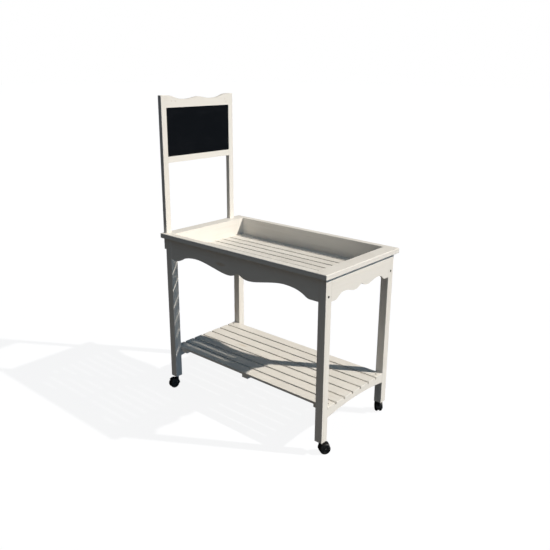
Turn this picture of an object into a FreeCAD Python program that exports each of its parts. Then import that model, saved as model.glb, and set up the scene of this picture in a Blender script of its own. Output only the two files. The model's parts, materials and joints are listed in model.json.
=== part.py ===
import FreeCAD, Part
import math
import os

# A white painted potting bench: a slatted tray top on four legs, scalloped
# aprons, a slatted lower shelf, a chalkboard frame standing on the left end
# and four black hooded swivel casters.
#
# Frame: +X along the length towards the end without the chalkboard, +Y to
# the back, +Z up. The origin is on the floor under the middle of the bench.
# All lengths are in millimetres.

# ---------------------------------------------------------------- dimensions

# Overall positions
table_height = 847.0          # top of the tray rim above the floor
leg_bottom_height = 65.0      # underside of the legs, which is the caster height
frame_height = 664.0          # chalkboard frame above the top of the rim

# Leg frame
leg_side = 39.0               # square section of a leg
legs_length = 1000.0          # across the legs' outer faces along X
legs_depth = 520.0            # across the legs' outer faces along Y
board = 12.0                  # thickness of aprons, tray walls, slats and battens
apron_reveal = 1.0            # long aprons sit this far behind the legs' faces
edge_ease = 1.2               # small rounding that the paint leaves on the edges
joint_gap = 0.1               # glue line between a loose part and what it fits in
overcut = 1.0                 # how far a cutting shape reaches past the face it cuts
same_place = 0.01             # coordinates closer than this are equal

# Tray
rim_thickness = 24.0
rim_overhang_x = 15.0         # rim beyond the legs' outer faces
rim_overhang_y = 21.0
rim_round = 3.0               # rounding of the rim's outer edge
tray_depth = 87.0             # top of the rim down to the top of the tray slats
tray_slat_count = 9
tray_slat_gap = 10.0
bearer_height = 18.0
bearer_width = 38.0
end_bearer_width = 18.0
bearer_to_nut = 10.0          # end bearers stop this far short of the nuts
wall_below_bearers = 1.0      # tray end walls reach this far below the bearers

# Scalloped lower edges: distance from the middle, drop below the rim's top. The
# distances are for the usual run and stretch with it; a flat foot ends each edge.
long_foot_length = 51.0
end_foot_length = 33.0
long_scallop = [(0.0, 109.0), (12.0, 114.5), (26.0, 121.5), (42.0, 126.5), (58.0, 128.5),
                (78.0, 128.0), (104.0, 125.0), (135.0, 119.0), (170.0, 111.5), (210.0, 103.5),
                (245.0, 98.0), (275.0, 96.0), (305.0, 97.0), (335.0, 101.0), (360.0, 107.5),
                (382.0, 117.0), (398.0, 126.0), (410.0, 130.0)]
end_scallop = [(0.0, 103.0), (8.0, 107.5), (18.0, 113.5), (30.0, 118.5), (44.0, 121.0),
               (58.0, 120.5), (74.0, 117.0), (92.0, 111.5), (110.0, 107.5), (128.0, 106.0),
               (144.0, 107.0), (158.0, 111.5), (170.0, 119.0), (180.0, 126.5), (188.0, 130.0)]
scallop_foot = 130.5          # drop of the flat foot beside each leg
foot_corner = 2.0             # eased corner where the curve meets the foot

# Lower shelf
shelf_top_above_leg = 162.5   # top of the shelf slats above the legs' underside
shelf_slat_count = 7
shelf_slat_gap = 10.0
shelf_end_gap = 1.0           # outer slats to the legs
shelf_rail_inset = 0.5        # end rails sit this far inside the legs' faces
shelf_rail_end_height = 37.5
shelf_rail_arch = 17.0        # rise of the arch in the rail's lower edge
batten_width = 37.0
batten_to_rail = 6.0          # gap between the outer battens and the end rails
batten_end_inset = 1.0        # battens stop short of the slats' edges
batten_thickness = 16.0

# Chalkboard frame
upright_thickness = 22.5
upright_width = 31.0
upright_setback = 2.0         # front upright behind the front leg's face, and the
                              # back upright in front of the back leg
tongue_drop = 85.0            # upright's tongue below the top of the rim
rail_thickness = 18.0
top_rail_drop = 57.5          # underside of the top rail below the uprights' top
bottom_rail_underside = 345.0 # above the top of the rim
bottom_rail_height = 30.0
panel_thickness = 5.0
panel_recess = 2.0            # face of the chalkboard behind the frame's face
groove_depth = 5.0
groove_gap = 0.2
# Top edge of the top rail: distance from its middle, drop below the uprights' top
crest_profile = [(207.5, 0.0), (198.0, 0.3), (186.0, 1.2), (172.0, 4.0), (158.0, 8.8),
                 (145.0, 13.0), (128.0, 17.0), (100.0, 19.3), (68.0, 19.3), (42.0, 16.0), (20.0, 11.8),
                 (0.0, 9.8)]

# Screws and bolts
bolt_radius = 3.0
bolt_head_radius = 5.5
bolt_head_height = 4.0
bolt_recess_radius = 6.0
bolt_recess_depth = 5.0
nut_to_slats = 0.4            # gap between the nuts and the tray slats above them
nut_to_apron = 0.9
nut_radius = 5.6
nut_height = 5.0
bolt_past_nut = 2.0
bolt_socket_radius = 2.5
hardware_gap = 0.05           # radial gap of a screw or bolt in its hole
screw_radius = 2.0
screw_head_radius = 4.0
screw_length = 30.0
screw_tip_room = 1.0          # hole beyond the tip of a screw
screw_tip_cover = 1.0         # wood left over the tips of the tongue screws
cross_length = 4.6            # cross recess for the driver
cross_width = 1.0
cross_depth = 1.4
rail_screw_length = 15.0
tongue_screw_drops = (45.0, 66.0)
rail_screws = [(-1.0, 33.0, 27.0), (-1.0, 58.0, 29.0), (1.0, 24.5, 27.0), (1.0, 17.5, 41.0)]
                              # end of the top rail, distance from it, drop below its ends

# Casters
stem_radius = 4.0
stem_in_leg = 38.0
stem_in_housing = 22.0
stem_bead = 0.5               # snap bead that keeps the stem in the housing
stem_bead_height = 5.0        # bead above the stem's foot
stem_chamfer = 1.0
bead_room = 0.3               # play of the bead in its groove
shaft_gap = 0.08              # running fit of stem and stub axles
body_gap = 0.5                # between parts that turn against each other
wheel_radius = 25.0
wheel_width = 12.0
wheel_round = 8.0
trail = 19.5                  # wheel axis behind the swivel axis
web_thickness = 10.0
web_radius = 21.0
web_rise = 4.0                # flat top of the web above its round part
stub_radius = 4.0
stub_root = 1.0               # depth of a stub axle's root in the web
snap_lip = 0.7                # lip that keeps a wheel on its stub axle
snap_lip_width = 1.4
snap_lip_taper = 0.6          # the lip's tip is this much thinner than the stub
hub_recess_radius = 7.5
hub_recess_depth = 2.5
rib_radius = 15.0
rib_recess_depth = 2.0
rib_slope = 0.6
hub_ring_width = 3.0
hub_ring_drop = 0.4           # hub ring below the wheel's outer face
tread_ease = 1.0
hood_gap = 1.5                # inside of the hood to the wheels
hood_wall = 2.0
hood_skirt = 3.2              # how far the hood's sides reach over the wheels
hood_corner = 6.0             # rounding across the hood
hood_corner_steps = 6
hood_start_angle = 48.0       # hood sector about the wheel axis, from the trailing side
hood_end_angle = 182.0
boss_radius = 9.0
boss_below_stem = 4.0
boss_round = 1.5
mould_overlap = 0.5           # depth to which the housing's web and hood run together
caster_angle = {              # direction in which each caster trails at rest
    "front_left": -100.0,
    "front_right": 53.0,
    "back_left": -155.0,
    "back_right": 132.0,
}

# ------------------------------------------------------------ derived values

rim_top = table_height
rim_bottom = rim_top - rim_thickness
leg_x = legs_length / 2.0
leg_y = legs_depth / 2.0
leg_in_x = leg_x - leg_side
leg_in_y = leg_y - leg_side
leg_cx = leg_x - leg_side / 2.0
leg_cy = leg_y - leg_side / 2.0
rim_x = leg_x + rim_overhang_x
rim_y = leg_y + rim_overhang_y
apron_out_y = leg_y - apron_reveal
apron_in_y = apron_out_y - board
wall_in_x = leg_in_x - board
slat_top = rim_top - tray_depth
slat_bottom = slat_top - board
shelf_top = leg_bottom_height + shelf_top_above_leg
shelf_bottom = shelf_top - board
frame_top = rim_top + frame_height
upright_out_x = -rim_x
upright_in_x = upright_out_x + upright_thickness
front_upright_y = -leg_y + upright_setback
back_upright_y = leg_in_y - upright_setback
frame_front_y = front_upright_y + upright_width
frame_back_y = back_upright_y - upright_width
top_rail_bottom = frame_top - top_rail_drop
bottom_rail_bottom = rim_top + bottom_rail_underside
bottom_rail_top = bottom_rail_bottom + bottom_rail_height
panel_face_x = upright_in_x - panel_recess
bolt_y = apron_in_y - nut_to_apron - nut_radius
bolt_z = slat_bottom - nut_to_slats - nut_radius
bearer_bottom = slat_bottom - bearer_height
tray_wall_bottom = bearer_bottom - wall_below_bearers


# ----------------------------------------------------------------- helpers

def vec(x, y, z):
    return FreeCAD.Vector(x, y, z)


def box(x0, x1, y0, y1, z0, z1):
    return Part.makeBox(x1 - x0, y1 - y0, z1 - z0, vec(x0, y0, z0))


def eased(shape, radius):
    return shape.makeFillet(radius, shape.Edges)


def board_box(x0, x1, y0, y1, z0, z1):
    return eased(box(x0, x1, y0, y1, z0, z1), edge_ease)


def cylinder(radius, start, direction, length):
    return Part.makeCylinder(radius, length, start, direction)


def spline(points):
    curve = Part.BSplineCurve()
    curve.interpolate(points)
    return curve.toShape()


def scalloped_face(profile, half, foot_length, place):
    """Apron face, symmetric about its middle: straight top and ends, scalloped bottom."""
    stretch = (half - foot_length) / profile[-1][0]
    right = [(s * stretch, rim_top - d) for s, d in profile]
    left = [(-s, z) for s, z in reversed(right)]
    foot = rim_top - scallop_foot
    run = half - foot_length + foot_corner
    corners = [left[0], (-run, foot), (-half, foot), (-half, rim_bottom),
               (half, rim_bottom), (half, foot), (run, foot), right[-1]]
    edges = [spline([place(s, z) for s, z in left])]
    edges.append(spline([place(s, z) for s, z in right]))
    for a, b in zip(corners[:-1], corners[1:]):
        edges.append(Part.makeLine(place(*a), place(*b)))
    wire = Part.Wire(Part.__sortEdges__(edges))
    return Part.Face(wire)


def revolved(outline, axis_point, axis):
    points = [vec(*p) for p in outline]
    wire = Part.makePolygon(points + [points[0]])
    return Part.Face(wire).revolve(axis_point, axis, 360)


def side(name):
    """Signs of X and Y for a corner such as front_left."""
    sx = -1.0 if name.endswith("left") else 1.0
    sy = -1.0 if name.startswith("front") else 1.0
    return sx, sy


parts = {}

# -------------------------------------------------------------------- screws

def add_screw(group, head, direction, length, targets):
    """Countersunk screw with a cross recess, head face at head; cuts its hole in each target."""
    cone_height = screw_head_radius - screw_radius
    shank = cylinder(screw_radius, head, direction, length)
    cone = Part.makeCone(screw_head_radius, screw_radius, cone_height, head, direction)
    screw = shank.fuse(cone).removeSplitter()
    cross = box(-cross_length / 2.0, cross_length / 2.0, -cross_width / 2.0, cross_width / 2.0,
                0.0, cross_depth)
    for turn in (0, 90):
        arm = cross.copy()
        quarter = FreeCAD.Rotation(vec(0, 0, 1), turn)
        arm.Placement = FreeCAD.Placement(head, FreeCAD.Rotation(vec(0, 0, 1), direction).multiply(quarter))
        screw = screw.cut(arm)
    group.append(screw)
    hole_depth = length + screw_tip_room
    hole = cylinder(screw_radius + hardware_gap, head, direction, hole_depth).fuse(cone)
    for name in targets:
        parts[name] = parts[name].cut(hole)


# --------------------------------------------------------------------- legs

bolts = []
for corner in ("front_left", "front_right", "back_left", "back_right"):
    sx, sy = side(corner)
    cx = sx * leg_cx
    cy = sy * leg_cy
    half = leg_side / 2.0
    leg = board_box(cx - half, cx + half, cy - half, cy + half, leg_bottom_height, rim_bottom)
    stem_hole = cylinder(stem_radius + hardware_gap, vec(cx, cy, leg_bottom_height),
                         vec(0, 0, 1), stem_in_leg)
    outer = vec(sx * leg_x, sy * bolt_y, bolt_z)
    inward = vec(-sx, 0, 0)
    recess = cylinder(bolt_recess_radius, outer, inward, bolt_recess_depth)
    bolt_hole = cylinder(bolt_radius + hardware_gap, outer, inward, leg_side)
    parts["leg_" + corner] = leg.cut(stem_hole).cut(recess).cut(bolt_hole)

    # bolt through the leg and the tray's end wall, with a nut under the tray slats
    head_face = outer + inward * (bolt_recess_depth - bolt_head_height)
    seat = outer + inward * bolt_recess_depth
    head = cylinder(bolt_head_radius, head_face, inward, bolt_head_height)
    socket = cylinder(bolt_socket_radius, head_face, inward, bolt_head_height / 2.0)
    shank_length = leg_side - bolt_recess_depth + board + nut_height + bolt_past_nut
    shank = cylinder(bolt_radius, seat, inward, shank_length)
    bolts.append(head.cut(socket).fuse(shank).removeSplitter())
    nut_face = vec(sx * wall_in_x, sy * bolt_y, bolt_z)
    nut = cylinder(nut_radius, nut_face, inward, nut_height)
    nut = nut.cut(cylinder(bolt_radius + hardware_gap, nut_face, inward, nut_height))
    bolts.append(nut)
parts["leg_bolts"] = Part.makeCompound(bolts)

# ------------------------------------------------------------------- aprons

long_face = scalloped_face(long_scallop, leg_in_x, long_foot_length,
                           lambda s, z: vec(s, -apron_out_y, z))
parts["apron_front"] = long_face.extrude(vec(0, board, 0))
parts["apron_back"] = parts["apron_front"].mirror(vec(0, 0, 0), vec(0, 1, 0))

end_face = scalloped_face(end_scallop, leg_in_y, end_foot_length,
                          lambda s, z: vec(leg_x, s, z))
parts["apron_right"] = end_face.extrude(vec(-board, 0, 0))
parts["apron_left"] = parts["apron_right"].mirror(vec(0, 0, 0), vec(1, 0, 0))

# --------------------------------------------------------- tray walls and rim

for name, sx in (("left", -1.0), ("right", 1.0)):
    x0, x1 = sorted((sx * wall_in_x, sx * leg_in_x))
    wall = box(x0, x1, -apron_in_y, apron_in_y, tray_wall_bottom, rim_bottom)
    for sy in (-1.0, 1.0):
        start = vec(sx * leg_in_x, sy * bolt_y, bolt_z)
        wall = wall.cut(cylinder(bolt_radius + hardware_gap, start, vec(-sx, 0, 0), board))
    parts["tray_wall_" + name] = wall

rim_slab = box(-rim_x, rim_x, -rim_y, rim_y, rim_bottom, rim_top)
rim_slab = rim_slab.makeFillet(rim_round, rim_slab.Edges)
cut_low = rim_bottom - overcut
cut_high = rim_top + overcut
rim_hole = box(-wall_in_x, wall_in_x, -apron_in_y, apron_in_y, cut_low, cut_high)
rim = rim_slab.cut(rim_hole)
inner_edges = [e for e in rim.Edges
               if abs(e.BoundBox.ZMin - rim_top) < same_place
               and abs(e.BoundBox.ZMax - rim_top) < same_place
               and max(abs(e.BoundBox.XMin), abs(e.BoundBox.XMax)) < wall_in_x + same_place
               and max(abs(e.BoundBox.YMin), abs(e.BoundBox.YMax)) < apron_in_y + same_place]
rim = rim.makeFillet(edge_ease, inner_edges)
for name, sx in (("left", -1.0), ("right", 1.0)):
    x0, x1 = sorted((sx * wall_in_x, sx * (rim_x + overcut)))
    parts["rim_" + name] = rim.common(box(x0, x1, -rim_y - overcut, rim_y + overcut,
                                          cut_low, cut_high))
for name, sy in (("front", -1.0), ("back", 1.0)):
    y0, y1 = sorted((sy * (apron_in_y - overcut), sy * (rim_y + overcut)))
    parts["rim_" + name] = rim.common(box(-wall_in_x, wall_in_x, y0, y1, cut_low, cut_high))

# --------------------------------------------------- tray bearers and slats

end_bearer_y = bolt_y - nut_radius - bearer_to_nut
for name, sx in (("left", -1.0), ("right", 1.0)):
    x0, x1 = sorted((sx * wall_in_x, sx * (wall_in_x - end_bearer_width)))
    parts["tray_bearer_" + name] = board_box(x0, x1, -end_bearer_y, end_bearer_y,
                                             bearer_bottom, slat_bottom)
parts["tray_bearer_middle"] = board_box(-bearer_width / 2.0, bearer_width / 2.0,
                                        -apron_in_y, apron_in_y, bearer_bottom, slat_bottom)

tray_width = 2.0 * apron_in_y
tray_slat_width = (tray_width - (tray_slat_count + 1) * tray_slat_gap) / tray_slat_count
for i in range(tray_slat_count):
    y0 = -apron_in_y + tray_slat_gap + i * (tray_slat_width + tray_slat_gap)
    parts["tray_slat_%d" % (i + 1)] = board_box(-wall_in_x + joint_gap, wall_in_x - joint_gap,
                                                y0, y0 + tray_slat_width,
                                                slat_bottom, slat_top)

# -------------------------------------------------------------- lower shelf

shelf_space = 2.0 * (leg_in_y - shelf_end_gap)
shelf_slat_width = (shelf_space - (shelf_slat_count - 1) * shelf_slat_gap) / shelf_slat_count
for i in range(shelf_slat_count):
    y0 = -leg_in_y + shelf_end_gap + i * (shelf_slat_width + shelf_slat_gap)
    parts["shelf_slat_%d" % (i + 1)] = board_box(-leg_x, leg_x, y0, y0 + shelf_slat_width,
                                                 shelf_bottom, shelf_top)

rail_low = shelf_bottom - shelf_rail_end_height
for name, sx in (("left", -1.0), ("right", 1.0)):
    x0 = sx * (leg_in_x + shelf_rail_inset)
    x1 = sx * (leg_x - shelf_rail_inset)
    ends = [vec(x0, -leg_in_y, rail_low), vec(x0, leg_in_y, rail_low)]
    crown = vec(x0, 0, rail_low + shelf_rail_arch)
    arch = Part.Arc(ends[0], crown, ends[1]).toShape()
    sides = Part.makePolygon([ends[1], vec(x0, leg_in_y, shelf_bottom),
                              vec(x0, -leg_in_y, shelf_bottom), ends[0]])
    outline = Part.Wire([arch] + sides.Edges)
    parts["shelf_rail_" + name] = Part.Face(outline).extrude(vec(x1 - x0, 0, 0))

batten_y = leg_in_y - shelf_end_gap - batten_end_inset
batten_cx = leg_in_x + shelf_rail_inset - batten_to_rail - batten_width / 2.0
for name, cx in (("left", -batten_cx), ("middle", 0.0), ("right", batten_cx)):
    parts["shelf_batten_" + name] = board_box(cx - batten_width / 2.0, cx + batten_width / 2.0,
                                              -batten_y, batten_y,
                                              shelf_bottom - batten_thickness, shelf_bottom)

shelf_screws = []
outer_slat_y = leg_in_y - shelf_end_gap - shelf_slat_width / 2.0
for sx, rail in ((-1.0, "shelf_rail_left"), (1.0, "shelf_rail_right")):
    for sy, slat in ((-1.0, "shelf_slat_1"), (1.0, "shelf_slat_%d" % shelf_slat_count)):
        add_screw(shelf_screws, vec(sx * leg_cx, sy * outer_slat_y, shelf_top), vec(0, 0, -1),
                  screw_length, (slat, rail))
parts["shelf_screws"] = Part.makeCompound(shelf_screws)

# --------------------------------------------------------- chalkboard frame

groove_x0 = panel_face_x - panel_thickness
groove_x1 = panel_face_x + groove_gap
panel_groove = box(groove_x0, groove_x1, frame_front_y - groove_depth,
                   frame_back_y + groove_depth, bottom_rail_top - groove_depth,
                   top_rail_bottom + groove_depth)
parts["chalkboard"] = box(panel_face_x - panel_thickness, panel_face_x,
                          frame_front_y - groove_depth + groove_gap,
                          frame_back_y + groove_depth - groove_gap,
                          bottom_rail_top - groove_depth,
                          top_rail_bottom + groove_depth - groove_gap)

frame_screws = []
for name, y0 in (("front", front_upright_y), ("back", frame_back_y)):
    y1 = y0 + upright_width
    post = box(upright_out_x, upright_in_x, y0, y1, rim_top, frame_top)
    tongue = box(upright_out_x, -leg_x, y0, y1, rim_top - tongue_drop, rim_top)
    upright = post.fuse(tongue).removeSplitter()
    outer_edges = [e for e in upright.Edges if abs(e.BoundBox.ZMax - rim_top) > same_place]
    upright = upright.makeFillet(edge_ease, outer_edges)
    parts["frame_upright_" + name] = upright.cut(panel_groove)
    slot = box(-rim_x - overcut, -leg_x + joint_gap, y0 - joint_gap, y1 + joint_gap,
               cut_low, cut_high)
    parts["rim_left"] = parts["rim_left"].cut(slot)
    anchor = "leg_front_left" if name == "front" else "apron_left"
    for drop in tongue_screw_drops:
        add_screw(frame_screws, vec(upright_out_x, (y0 + y1) / 2.0, rim_top - drop), vec(1, 0, 0),
                  rim_overhang_x + board - screw_tip_cover, ("frame_upright_" + name, anchor))

rail_x0 = upright_in_x - rail_thickness
frame_mid_y = (frame_front_y + frame_back_y) / 2.0
frame_half = (frame_back_y - frame_front_y) / 2.0
crest_scale = frame_half / crest_profile[0][0]
crest = [(-s * crest_scale, frame_top - d) for s, d in crest_profile]
crest += [(-s, z) for s, z in reversed(crest[:-1])]
crest_curve = spline([vec(upright_in_x, frame_mid_y + s, z) for s, z in crest])
low = [vec(upright_in_x, frame_back_y, frame_top), vec(upright_in_x, frame_back_y, top_rail_bottom),
       vec(upright_in_x, frame_front_y, top_rail_bottom), vec(upright_in_x, frame_front_y, frame_top)]
crest_wire = Part.Wire([crest_curve] + Part.makePolygon(low).Edges)
top_rail = Part.Face(crest_wire).extrude(vec(-rail_thickness, 0, 0))
parts["frame_top_rail"] = top_rail.cut(panel_groove)
parts["frame_bottom_rail"] = box(rail_x0, upright_in_x, frame_front_y, frame_back_y,
                                 bottom_rail_bottom, bottom_rail_top).cut(panel_groove)
for sy, inset, drop in rail_screws:
    head = vec(upright_in_x, frame_mid_y + sy * (frame_half - inset), frame_top - drop)
    add_screw(frame_screws, head, vec(-1, 0, 0), rail_screw_length, ("frame_top_rail",))
parts["frame_screws"] = Part.makeCompound(frame_screws)

# ------------------------------------------------------------------ casters

web_half = web_thickness / 2.0
wheel_y0 = web_half + body_gap
wheel_y1 = wheel_y0 + wheel_width
axle_z = wheel_radius
housing_top = leg_bottom_height - body_gap
stem_low = housing_top - stem_in_housing
hood_in = wheel_radius + hood_gap
hood_out = hood_in + hood_wall
skirt_radius = wheel_radius - hood_skirt
wheel_side = wheel_y1 - wheel_round + math.sqrt(wheel_round ** 2 - (wheel_round - hood_skirt) ** 2)
hood_in_y = wheel_side + body_gap
hood_out_y = hood_in_y + hood_wall
beyond = 3.0 * hood_out       # reaches past the whole housing


def arc_band(y_out, r_out, corner):
    """Cross-section (y, r) of a rounded U, from one rim to the other."""
    points = []
    for k in range(hood_corner_steps + 1):
        a = math.radians(90.0 * k / hood_corner_steps)
        points.append((-y_out + corner - corner * math.cos(a), r_out - corner + corner * math.sin(a)))
    return points + [(-y, r) for y, r in reversed(points)]


def make_stem():
    """Steel stem, fixed in the leg; a bead near its foot snaps into the housing."""
    bead_z = stem_low + stem_bead_height
    stem_high = leg_bottom_height + stem_in_leg
    tip_radius = stem_radius - stem_chamfer
    outline = [(0, 0, stem_low), (tip_radius, 0, stem_low), (stem_radius, 0, stem_low + stem_chamfer),
               (stem_radius, 0, bead_z - stem_bead), (stem_radius + stem_bead, 0, bead_z),
               (stem_radius, 0, bead_z + stem_bead),
               (stem_radius, 0, stem_high - stem_chamfer), (tip_radius, 0, stem_high),
               (0, 0, stem_high)]
    return revolved(outline, vec(0, 0, 0), vec(0, 0, 1))


def make_housing():
    """Hood, web, boss and the two stub axles, moulded in one piece."""
    centre = vec(trail, 0, axle_z)
    web = cylinder(web_radius, vec(trail, -web_half, axle_z), vec(0, 1, 0), web_thickness)
    fill = box(-boss_radius, trail, -web_half, web_half, axle_z,
               axle_z + web_radius + web_rise)
    reach = cylinder(hood_out - mould_overlap, vec(trail, -web_half, axle_z), vec(0, 1, 0), web_thickness)
    web = web.fuse(fill.common(reach))
    outer = [(-hood_out_y, skirt_radius)] + arc_band(hood_out_y, hood_out, hood_corner)
    outer.append((hood_out_y, skirt_radius))
    inner = [(-hood_in_y, skirt_radius)] + arc_band(hood_in_y, hood_in, hood_corner - hood_wall)
    inner.append((hood_in_y, skirt_radius))
    points = [vec(trail + r, y, axle_z) for y, r in outer + inner[::-1]]
    hood_face = Part.Face(Part.makePolygon(points + [points[0]]))
    hood_face.rotate(centre, vec(0, -1, 0), hood_start_angle)
    hood = hood_face.revolve(centre, vec(0, -1, 0), hood_end_angle - hood_start_angle)
    web_join = cylinder(hood_in + mould_overlap, vec(trail, -web_half, axle_z), vec(0, 1, 0), web_thickness)
    sector = hood_sector(centre)
    web = web.fuse(web_join.common(sector))
    boss_bottom = stem_low - boss_below_stem
    boss = cylinder(boss_radius, vec(0, 0, boss_bottom), vec(0, 0, 1), housing_top - boss_bottom)
    top_edges = [e for e in boss.Edges if abs(e.BoundBox.ZMin - housing_top) < same_place]
    boss = boss.makeFillet(boss_round, top_edges)
    wheel_room = cylinder(hood_in, vec(trail, -hood_out_y, axle_z), vec(0, 1, 0),
                          2.0 * hood_out_y)
    web_slab = box(-beyond, beyond, -web_half, web_half, -beyond, beyond)
    boss = boss.cut(wheel_room.cut(web_slab))
    body = web.fuse(hood).fuse(boss)
    for sy in (-1.0, 1.0):
        root = vec(trail, sy * (web_half - stub_root), axle_z)
        stub_length = wheel_y1 - hub_recess_depth + body_gap - web_half + stub_root
        stub = cylinder(stub_radius, root, vec(0, sy, 0), stub_length)
        lip_root = root + vec(0, sy * stub_length, 0)
        lip = Part.makeCone(stub_radius + snap_lip, stub_radius - snap_lip_taper, snap_lip_width,
                            lip_root, vec(0, sy, 0))
        body = body.fuse(stub).fuse(lip)
    bead_z = stem_low + stem_bead_height
    r = stem_radius + shaft_gap
    bore = [(0, 0, stem_low - body_gap), (r, 0, stem_low - body_gap),
            (r, 0, bead_z - stem_bead - bead_room), (r + stem_bead, 0, bead_z - bead_room),
            (r + stem_bead, 0, bead_z + bead_room), (r, 0, bead_z + stem_bead + bead_room),
            (r, 0, housing_top + overcut), (0, 0, housing_top + overcut)]
    return body.cut(revolved(bore, vec(0, 0, 0), vec(0, 0, 1))).removeSplitter()


def hood_sector(centre):
    """Wedge about the wheel axis that spans the hood's angles."""
    wedge = Part.makeCylinder(beyond, web_thickness, vec(0, 0, 0), vec(0, -1, 0),
                              hood_end_angle - hood_start_angle)
    seam = wedge.BoundBox.Center
    wedge_angle = math.degrees(math.atan2(seam.z, seam.x))
    middle = (hood_start_angle + hood_end_angle) / 2.0
    wedge.rotate(vec(0, 0, 0), vec(0, -1, 0), middle - wedge_angle)
    wedge.translate(vec(centre.x, web_half, centre.z))
    return wedge


def make_wheel(sy):
    """One wheel: rounded tread, recessed outer face and a hub with a bore."""
    bore = stub_radius + shaft_gap
    c = wheel_round
    rounding = [(wheel_radius - c + c * math.sin(math.radians(a)),
                 wheel_y1 - c + c * math.cos(math.radians(a))) for a in (90, 72, 54, 36, 18, 0)]
    profile = [(bore, wheel_y0), (wheel_radius - tread_ease, wheel_y0),
               (wheel_radius, wheel_y0 + tread_ease)]
    profile += rounding
    ring_radius = hub_recess_radius + hub_ring_width
    ring_face = wheel_y1 - hub_ring_drop
    profile += [(rib_radius, wheel_y1), (rib_radius - rib_slope, wheel_y1 - rib_recess_depth),
                (ring_radius, wheel_y1 - rib_recess_depth), (ring_radius - rib_slope, ring_face),
                (hub_recess_radius, ring_face), (hub_recess_radius, wheel_y1 - hub_recess_depth),
                (bore, wheel_y1 - hub_recess_depth)]
    outline = [(trail + r, sy * y, axle_z) for r, y in profile]
    return revolved(outline, vec(trail, 0, axle_z), vec(0, 1, 0))


stems = []
for corner, angle in caster_angle.items():
    sx, sy = side(corner)
    where = FreeCAD.Placement(vec(sx * leg_cx, sy * leg_cy, 0),
                              FreeCAD.Rotation(vec(0, 0, 1), angle))
    stem = make_stem()
    stem.Placement = where
    stems.append(stem)
    for name, shape in (("housing", make_housing()), ("wheel_left", make_wheel(1.0)),
                        ("wheel_right", make_wheel(-1.0))):
        shape.Placement = where
        parts["caster_" + corner + "_" + name] = shape
parts["caster_stems"] = Part.makeCompound(stems)

# ------------------------------------------------------------------- export

os.makedirs("parts", exist_ok=True)
for name, shape in parts.items():
    shape.exportStep("parts/" + name + ".step")
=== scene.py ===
import json
import math

import bpy
from mathutils import Matrix, Vector


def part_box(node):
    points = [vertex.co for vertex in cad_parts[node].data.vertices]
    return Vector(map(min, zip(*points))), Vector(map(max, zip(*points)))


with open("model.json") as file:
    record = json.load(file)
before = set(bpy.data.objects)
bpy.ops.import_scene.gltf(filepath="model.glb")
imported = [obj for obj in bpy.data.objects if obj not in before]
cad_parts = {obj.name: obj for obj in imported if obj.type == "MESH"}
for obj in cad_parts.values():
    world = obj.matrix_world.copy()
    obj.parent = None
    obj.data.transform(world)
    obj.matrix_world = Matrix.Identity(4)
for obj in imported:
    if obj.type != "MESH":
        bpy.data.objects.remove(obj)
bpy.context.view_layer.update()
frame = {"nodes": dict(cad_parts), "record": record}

# The looks of a white painted potting bench: paint over softwood on every
# board, a matte chalkboard, black plastic casters and small steel fasteners.
# The shapes are the CAD model's own; this script gives them their materials
# and adds the floor, the light and the camera.

nodes = frame["nodes"]

# ------------------------------------------------------------------ settings

# Colours are linear red, green and blue.
PAINT = (0.80, 0.775, 0.73)            # off-white eggshell paint
PAINT_SHADE = (0.74, 0.705, 0.645)     # thinner, yellower coat
BARE_WOOD = (0.46, 0.33, 0.21)         # softwood where an edge has worn
KNOT = (0.64, 0.54, 0.41)              # knots that stain the paint
TOP_DARK_TONE = (0.56, 0.535, 0.495)           # darker grey tone painted on upward faces
BLACKBOARD = (0.0030, 0.0042, 0.0062)
CHALK_DUST = (0.0085, 0.0100, 0.0130)
HOOD = (0.012, 0.0115, 0.011)
WHEEL = (0.009, 0.009, 0.009)
ROAD_DUST = (0.060, 0.053, 0.045)
ZINC = (0.56, 0.55, 0.53)
DARK_ZINC = (0.030, 0.027, 0.024)
RUST = (0.11, 0.055, 0.030)

FLOOR_TONES = (0.095, 0.100, 0.112), (0.105, 0.111, 0.124)
FLOOR_GLOW = 0.90                      # the floor's own white, which keeps its shadow faint
FLOOR_HALF_SIDE = 60.0                 # metres

# How much darker grey tone is painted on the upward faces.
SLAT_TOP_DARKENING = 0.62                      # on the tray slats, where the pots stand
BOARD_TOP_DARKENING = 0.30                     # on every other board
PAINT_SPECULAR = 0.35

# Directions point from the bench to the lamp. An angle is how wide the lamp looks.
KEY_DIRECTION = Vector((0.97, 0.60, 1.0)).normalized()
KEY_COLOUR = (1.0, 0.93, 0.83)
KEY_STRENGTH = 4.4
KEY_ANGLE = math.radians(1.0)
FILL_DIRECTION = Vector((-0.3, -1.0, 0.5))
FILL_COLOUR = (1.0, 0.93, 0.82)
FILL_STRENGTH = 0.10
FILL_ANGLE = math.radians(120.0)
SKY_DIRECTION = Vector((0.85, 0.35, 0.75))
SKY_COLOUR = (0.52, 0.75, 1.0)
SKY_STRENGTH = 0.80
SKY_ANGLE = math.radians(160.0)

# A low card that throws warm light back at the front of the bench.
BOUNCE_PLACE = (0.1, -1.1, 0.12)
BOUNCE_AIM = Vector((0.0, 0.0, 0.35))
BOUNCE_SIZE = (2.4, 0.3)
BOUNCE_POWER = 0.9
BOUNCE_COLOUR = (1.0, 0.80, 0.58)

CAMERA_PLACE = (1.9523, -2.2539, 1.6339)
CAMERA_AZIMUTH = math.radians(41.100)
CAMERA_ELEVATION = math.radians(17.028)
CAMERA_ROLL = math.radians(0.299)
CAMERA_LENS = 42.044
SENSOR_WIDTH = 36.0
CAMERA_SHIFT = (0.0039, -0.0175)


# ---------------------------------------------------------- material helpers

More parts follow.
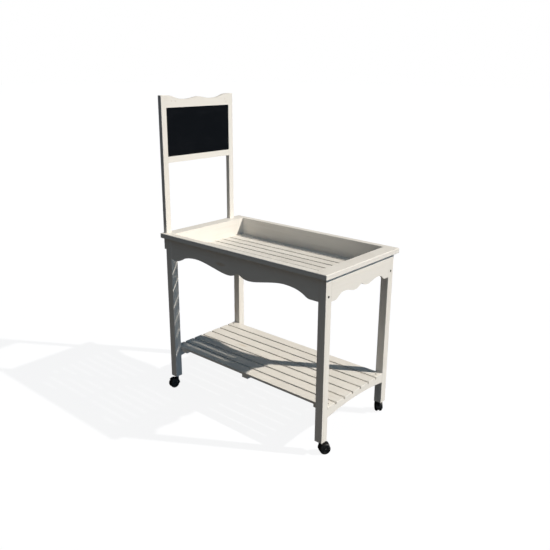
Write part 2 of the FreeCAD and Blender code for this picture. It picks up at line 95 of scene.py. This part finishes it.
class Shader:
    """A new material and short calls that add its nodes and links."""

    def __init__(self, name):
        self.material = bpy.data.materials.new(name)
        self.material.use_nodes = True
        self.tree = self.material.node_tree
        self.surface = self.tree.nodes["Principled BSDF"]
        self.coordinates = self.tree.nodes.new("ShaderNodeTexCoord").outputs["Object"]

    def node(self, kind, **inputs):
        made = self.tree.nodes.new(kind)
        for key, value in inputs.items():
            self.feed(made.inputs[key.replace("_", " ")], value)
        return made

    def feed(self, socket, value):
        if isinstance(value, bpy.types.NodeSocket):
            self.tree.links.new(value, socket)
        elif socket.type == "RGBA" and len(value) == 3:
            socket.default_value = (*value, 1.0)
        else:
            socket.default_value = value

    def set(self, **inputs):
        for key, value in inputs.items():
            self.feed(self.surface.inputs[key.replace("_", " ")], value)

    def stretched(self, scale, offset=None):
        """Object coordinates times scale, moved by offset."""
        mapping = self.node("ShaderNodeMapping", Vector=self.coordinates, Scale=scale)
        if offset is not None:
            self.feed(mapping.inputs["Location"], offset)
        return mapping.outputs["Vector"]

    def noise(self, vector, scale, detail=4.0, roughness=0.55, distortion=0.0):
        made = self.node("ShaderNodeTexNoise", Vector=vector, Scale=scale, Detail=detail,
                         Roughness=roughness, Distortion=distortion)
        return made.outputs["Fac"]

    def ramp(self, value, low, high, to_low=0.0, to_high=1.0):
        """Smooth step of value from low to high."""
        made = self.node("ShaderNodeMapRange", Value=value)
        made.interpolation_type = "SMOOTHSTEP"
        for key, number in (("From Min", low), ("From Max", high),
                            ("To Min", to_low), ("To Max", to_high)):
            made.inputs[key].default_value = number
        return made.outputs["Result"]

    def math(self, operation, a, b=None):
        made = self.tree.nodes.new("ShaderNodeMath")
        made.operation = operation
        self.feed(made.inputs[0], a)
        if b is not None:
            self.feed(made.inputs[1], b)
        return made.outputs["Value"]

    def mix(self, factor, a, b):
        made = self.tree.nodes.new("ShaderNodeMix")
        made.data_type = "RGBA"
        self.feed(made.inputs["Factor"], factor)
        self.feed(made.inputs["A"], a)
        self.feed(made.inputs["B"], b)
        return made.outputs["Result"]

    def bump(self, height, strength, distance, normal=None):
        made = self.node("ShaderNodeBump", Height=height, Strength=strength, Distance=distance)
        if normal is not None:
            self.feed(made.inputs["Normal"], normal)
        return made.outputs["Normal"]

    def off_axis(self):
        """0 where a face looks along X, Y or Z, rising on the rounded edges between them."""
        geometry = self.tree.nodes.new("ShaderNodeNewGeometry")
        absolute = self.tree.nodes.new("ShaderNodeVectorMath")
        absolute.operation = "ABSOLUTE"
        self.feed(absolute.inputs[0], geometry.outputs["True Normal"])
        parts = self.node("ShaderNodeSeparateXYZ", Vector=absolute.outputs["Vector"])
        largest = self.math("MAXIMUM", parts.outputs["X"], parts.outputs["Y"])
        largest = self.math("MAXIMUM", largest, parts.outputs["Z"])
        return self.ramp(largest, 0.98, 0.80)

    def facing_up(self):
        """1 on upward faces, 0 on upright and downward ones."""
        geometry = self.tree.nodes.new("ShaderNodeNewGeometry")
        parts = self.node("ShaderNodeSeparateXYZ", Vector=geometry.outputs["True Normal"])
        return self.ramp(parts.outputs["Z"], 0.60, 0.95)

    def piece_number(self, size):
        """A number from 0 to size that differs from piece to piece."""
        info = self.tree.nodes.new("ShaderNodeObjectInfo")
        return self.math("MULTIPLY", info.outputs["Random"], size)


def along(axis, long, across):
    """Scale that stretches a pattern along one axis."""
    scale = [across, across, across]
    scale["XYZ".index(axis)] = long
    return tuple(scale)


# ----------------------------------------------------------------- materials

def painted_wood(name, axis, top_darkening):
    """Brushed off-white paint on softwood whose grain runs along axis; top_darkening sets how much
    darker grey tone is painted on its upward faces.
    """
    s = Shader(name)
    # Each piece shows its own stretch of the patterns.
    shift = s.node("ShaderNodeCombineXYZ", X=s.piece_number(37.0), Y=s.piece_number(61.0),
                   Z=s.piece_number(83.0)).outputs["Vector"]

    # Patterns, most of them drawn out along the grain: pores, growth rings, brush marks and blotches.
    fibre = s.noise(s.stretched(along(axis, 5.0, 210.0), shift), 1.0, 5.0, 0.6, 0.3)
    growth = s.noise(s.stretched(along(axis, 1.3, 34.0), shift), 1.0, 3.0, 0.5, 0.9)
    brush = s.noise(s.stretched(along(axis, 14.0, 620.0), shift), 1.0, 2.0, 0.5)
    patch = s.noise(s.stretched((1.0, 1.0, 1.0), shift), 7.0, 3.0, 0.6)

    knot_place = s.stretched(along(axis, 2.3, 9.0), shift)
    cells = s.node("ShaderNodeTexVoronoi", Vector=knot_place, Scale=1.0)
    knot = s.ramp(cells.outputs["Distance"], 0.10, 0.035)

    # The coat is thinner over the growth rings and pores, and knots stain it.
    thin = s.math("MULTIPLY", s.ramp(growth, 0.42, 0.72), s.ramp(patch, 0.35, 0.75))
    colour = s.mix(s.math("MULTIPLY", thin, 0.95), PAINT, PAINT_SHADE)
    colour = s.mix(s.math("MULTIPLY", s.ramp(fibre, 0.56, 0.76), 0.40), colour, PAINT_SHADE)
    colour = s.mix(s.math("MULTIPLY", knot, 0.60), colour, KNOT)

    # It has chipped off on some of the rounded edges.
    chips = s.noise(s.stretched(along(axis, 30.0, 90.0), shift), 1.0, 4.0, 0.7)
    worn = s.math("MULTIPLY", s.off_axis(), s.ramp(chips, 0.56, 0.66))
    colour = s.mix(s.math("MULTIPLY", worn, 0.55), colour, BARE_WOOD)

    # A darker grey tone is painted on upward faces, in patches.
    darkened_tops = s.math("MULTIPLY", s.facing_up(), s.ramp(patch, 0.25, 0.70, 0.45, 1.0))
    colour = s.mix(s.math("MULTIPLY", darkened_tops, top_darkening), colour, TOP_DARK_TONE)

    height = s.math("ADD", s.math("MULTIPLY", fibre, 0.6), s.math("MULTIPLY", growth, 0.8))
    height = s.math("SUBTRACT", height, s.math("MULTIPLY", worn, 0.5))
    normal = s.bump(height, 0.80, 0.0007)
    normal = s.bump(brush, 0.30, 0.0002, normal)
    sheen = s.ramp(brush, 0.3, 0.7, 0.46, 0.58)
    roughness = s.math("ADD", sheen, s.math("MULTIPLY", worn, 0.25))
    s.set(Base_Color=colour, Roughness=roughness, Normal=normal, Specular_IOR_Level=PAINT_SPECULAR)
    return s.material


def chalkboard_paint():
    """Matte blackboard paint with wiped chalk dust."""
    s = Shader("chalkboard_paint")
    wipe = s.noise(s.stretched((1.0, 3.0, 9.0)), 2.2, 5.0, 0.62, 0.8)
    grit = s.noise(s.coordinates, 900.0, 2.0)
    haze = s.math("MULTIPLY", s.ramp(wipe, 0.45, 0.80), s.ramp(grit, 0.30, 0.70))
    normal = s.bump(grit, 0.25, 0.0002)
    s.set(Base_Color=s.mix(haze, BLACKBOARD, CHALK_DUST), Roughness=s.ramp(wipe, 0.3, 0.8, 0.62, 0.82),
          Normal=normal, Specular_IOR_Level=0.04)
    return s.material


def moulded_plastic(name, colour, gloss, dust):
    """Black nylon with a moulded skin; dust greys it in patches."""
    s = Shader(name)
    skin = s.noise(s.coordinates, 1500.0, 2.0)
    scuff = s.noise(s.coordinates, 160.0, 5.0, 0.65)
    dusty = s.math("MULTIPLY", s.ramp(scuff, 0.48, 0.72), dust)
    normal = s.bump(skin, 0.20, 0.0001)
    s.set(Base_Color=s.mix(dusty, colour, ROAD_DUST),
          Roughness=s.ramp(scuff, 0.3, 0.75, gloss, gloss + 0.22), Normal=normal)
    return s.material


def steel(name, colour, stain, amount, metallic):
    """Coated steel with a dull, slightly stained film."""
    s = Shader(name)
    film = s.noise(s.coordinates, 420.0, 4.0, 0.6)
    turned = s.noise(s.stretched((1.0, 1.0, 6.0)), 1300.0, 2.0)
    stained = s.math("MULTIPLY", s.ramp(film, 0.50, 0.70), amount)
    s.set(Base_Color=s.mix(stained, colour, stain), Metallic=metallic,
          Roughness=s.ramp(film, 0.3, 0.7, 0.34, 0.55), Normal=s.bump(turned, 0.2, 0.0001))
    return s.material


def painted_steel():
    """Screw heads painted over with the wood, with a thin coat that lets a little rust through."""
    s = Shader("painted_fastener")
    coat = s.noise(s.coordinates, 380.0, 4.0, 0.6)
    brush = s.noise(s.stretched((1.0, 5.0, 1.0)), 900.0, 2.0)
    stained = s.math("MULTIPLY", s.ramp(coat, 0.54, 0.70), 0.35)
    s.set(Base_Color=s.mix(stained, PAINT_SHADE, RUST), Roughness=s.ramp(coat, 0.3, 0.7, 0.48, 0.66),
          Normal=s.bump(brush, 0.3, 0.0002), Specular_IOR_Level=PAINT_SPECULAR)
    return s.material


def floor_finish():
    """Pale seamless studio floor: mostly its own even white, and a faint shadow."""
    s = Shader("studio_floor")
    tone = s.noise(s.coordinates, 0.6, 2.0)
    s.set(Base_Color=s.mix(tone, *FLOOR_TONES), Roughness=0.9,
          Specular_IOR_Level=0.0, Emission_Color=(1.0, 1.0, 1.0), Emission_Strength=FLOOR_GLOW)
    return s.material


def wear(node_name, material):
    """Puts one material on every slot of a CAD node."""
    piece = nodes[node_name]
    piece.data.materials.clear()
    piece.data.materials.append(material)


grain = {axis: painted_wood("painted_wood_" + axis.lower(), axis, BOARD_TOP_DARKENING) for axis in "XYZ"}
# The tray slats get the most darker grey tone painted on their tops.
tray_floor_paint = painted_wood("painted_wood_tray_floor", "X", SLAT_TOP_DARKENING)
hood_plastic = moulded_plastic("hood_plastic", HOOD, 0.30, 0.25)
wheel_plastic = moulded_plastic("wheel_plastic", WHEEL, 0.42, 0.55)
fastener_steel = steel("fastener_steel", DARK_ZINC, RUST, 0.35, 0.4)
stem_steel = steel("stem_steel", ZINC, DARK_ZINC, 0.4, 0.9)
painted_head = painted_steel()
board_paint = chalkboard_paint()


def grain_axis(name):
    """The direction a wooden piece's grain runs, which is its longest side."""
    low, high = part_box(name)
    sides = [b - a for a, b in zip(low, high)]
    return "XYZ"[sides.index(max(sides))]


for entry in frame["record"]["subparts"]:
    name = entry["node"]
    if name == "chalkboard":
        wear(name, board_paint)
    elif name in ("shelf_screws", "leg_bolts"):
        wear(name, fastener_steel)
    elif name == "frame_screws":
        wear(name, painted_head)
    elif name == "caster_stems":
        wear(name, stem_steel)
    elif name.endswith("housing"):
        wear(name, hood_plastic)
    elif name.startswith("caster_"):
        wear(name, wheel_plastic)
    elif name.startswith("tray_slat_"):
        wear(name, tray_floor_paint)
    else:
        wear(name, grain[grain_axis(name)])


# --------------------------------------------------- floor, light and camera

def make_floor(half_side):
    mesh = bpy.data.meshes.new("studio_floor")
    corners = [(-half_side, -half_side, 0.0), (half_side, -half_side, 0.0),
               (half_side, half_side, 0.0), (-half_side, half_side, 0.0)]
    mesh.from_pydata(corners, [], [(0, 1, 2, 3)])
    floor = bpy.data.objects.new("studio_floor", mesh)
    bpy.context.scene.collection.objects.link(floor)
    mesh.materials.append(floor_finish())
    floor.visible_diffuse = False
    floor.visible_glossy = False


def make_sun(name, towards, strength, angle, colour):
    data = bpy.data.lights.new(name, "SUN")
    data.energy = strength
    data.angle = angle
    data.color = colour
    lamp = bpy.data.objects.new(name, data)
    lamp.rotation_euler = towards.to_track_quat("Z", "Y").to_euler()
    bpy.context.scene.collection.objects.link(lamp)


def make_bounce(aim):
    data = bpy.data.lights.new("bounce", "AREA")
    data.shape = "RECTANGLE"
    data.size, data.size_y = BOUNCE_SIZE
    data.energy = BOUNCE_POWER
    data.color = BOUNCE_COLOUR
    card = bpy.data.objects.new("bounce", data)
    card.location = BOUNCE_PLACE
    card.rotation_euler = (Vector(BOUNCE_PLACE) - aim).to_track_quat("Z", "Y").to_euler()
    card.visible_camera = False
    card.visible_glossy = False
    bpy.context.scene.collection.objects.link(card)


def make_world():
    world = bpy.data.worlds.new("studio")
    world.use_nodes = True
    background = world.node_tree.nodes["Background"]
    background.inputs["Color"].default_value = (1.0, 1.0, 1.0, 1.0)
    background.inputs["Strength"].default_value = 1.0
    world.cycles_visibility.diffuse = False
    world.cycles_visibility.glossy = False
    bpy.context.scene.world = world


def make_camera():
    azimuth, elevation, roll = CAMERA_AZIMUTH, CAMERA_ELEVATION, CAMERA_ROLL
    ahead = Vector((-math.sin(azimuth) * math.cos(elevation),
                    math.cos(azimuth) * math.cos(elevation), -math.sin(elevation)))
    level = Vector((math.cos(azimuth), math.sin(azimuth), 0.0))
    upright = level.cross(ahead)
    right = level * math.cos(roll) + upright * math.sin(roll)
    up = upright * math.cos(roll) - level * math.sin(roll)
    data = bpy.data.cameras.new("camera")
    data.sensor_width = SENSOR_WIDTH
    data.lens = CAMERA_LENS
    data.shift_x, data.shift_y = CAMERA_SHIFT
    camera = bpy.data.objects.new("camera", data)
    turn = Matrix((right, up, -ahead)).transposed().to_4x4()
    camera.matrix_world = Matrix.Translation(CAMERA_PLACE) @ turn
    bpy.context.scene.collection.objects.link(camera)
    bpy.context.scene.camera = camera


make_floor(FLOOR_HALF_SIDE)
make_sun("key", KEY_DIRECTION, KEY_STRENGTH, KEY_ANGLE, KEY_COLOUR)
make_sun("fill", FILL_DIRECTION, FILL_STRENGTH, FILL_ANGLE, FILL_COLOUR)
make_sun("sky", SKY_DIRECTION, SKY_STRENGTH, SKY_ANGLE, SKY_COLOUR)
make_bounce(BOUNCE_AIM)
make_world()
make_camera()
bpy.context.scene.view_settings.view_transform = "Standard"
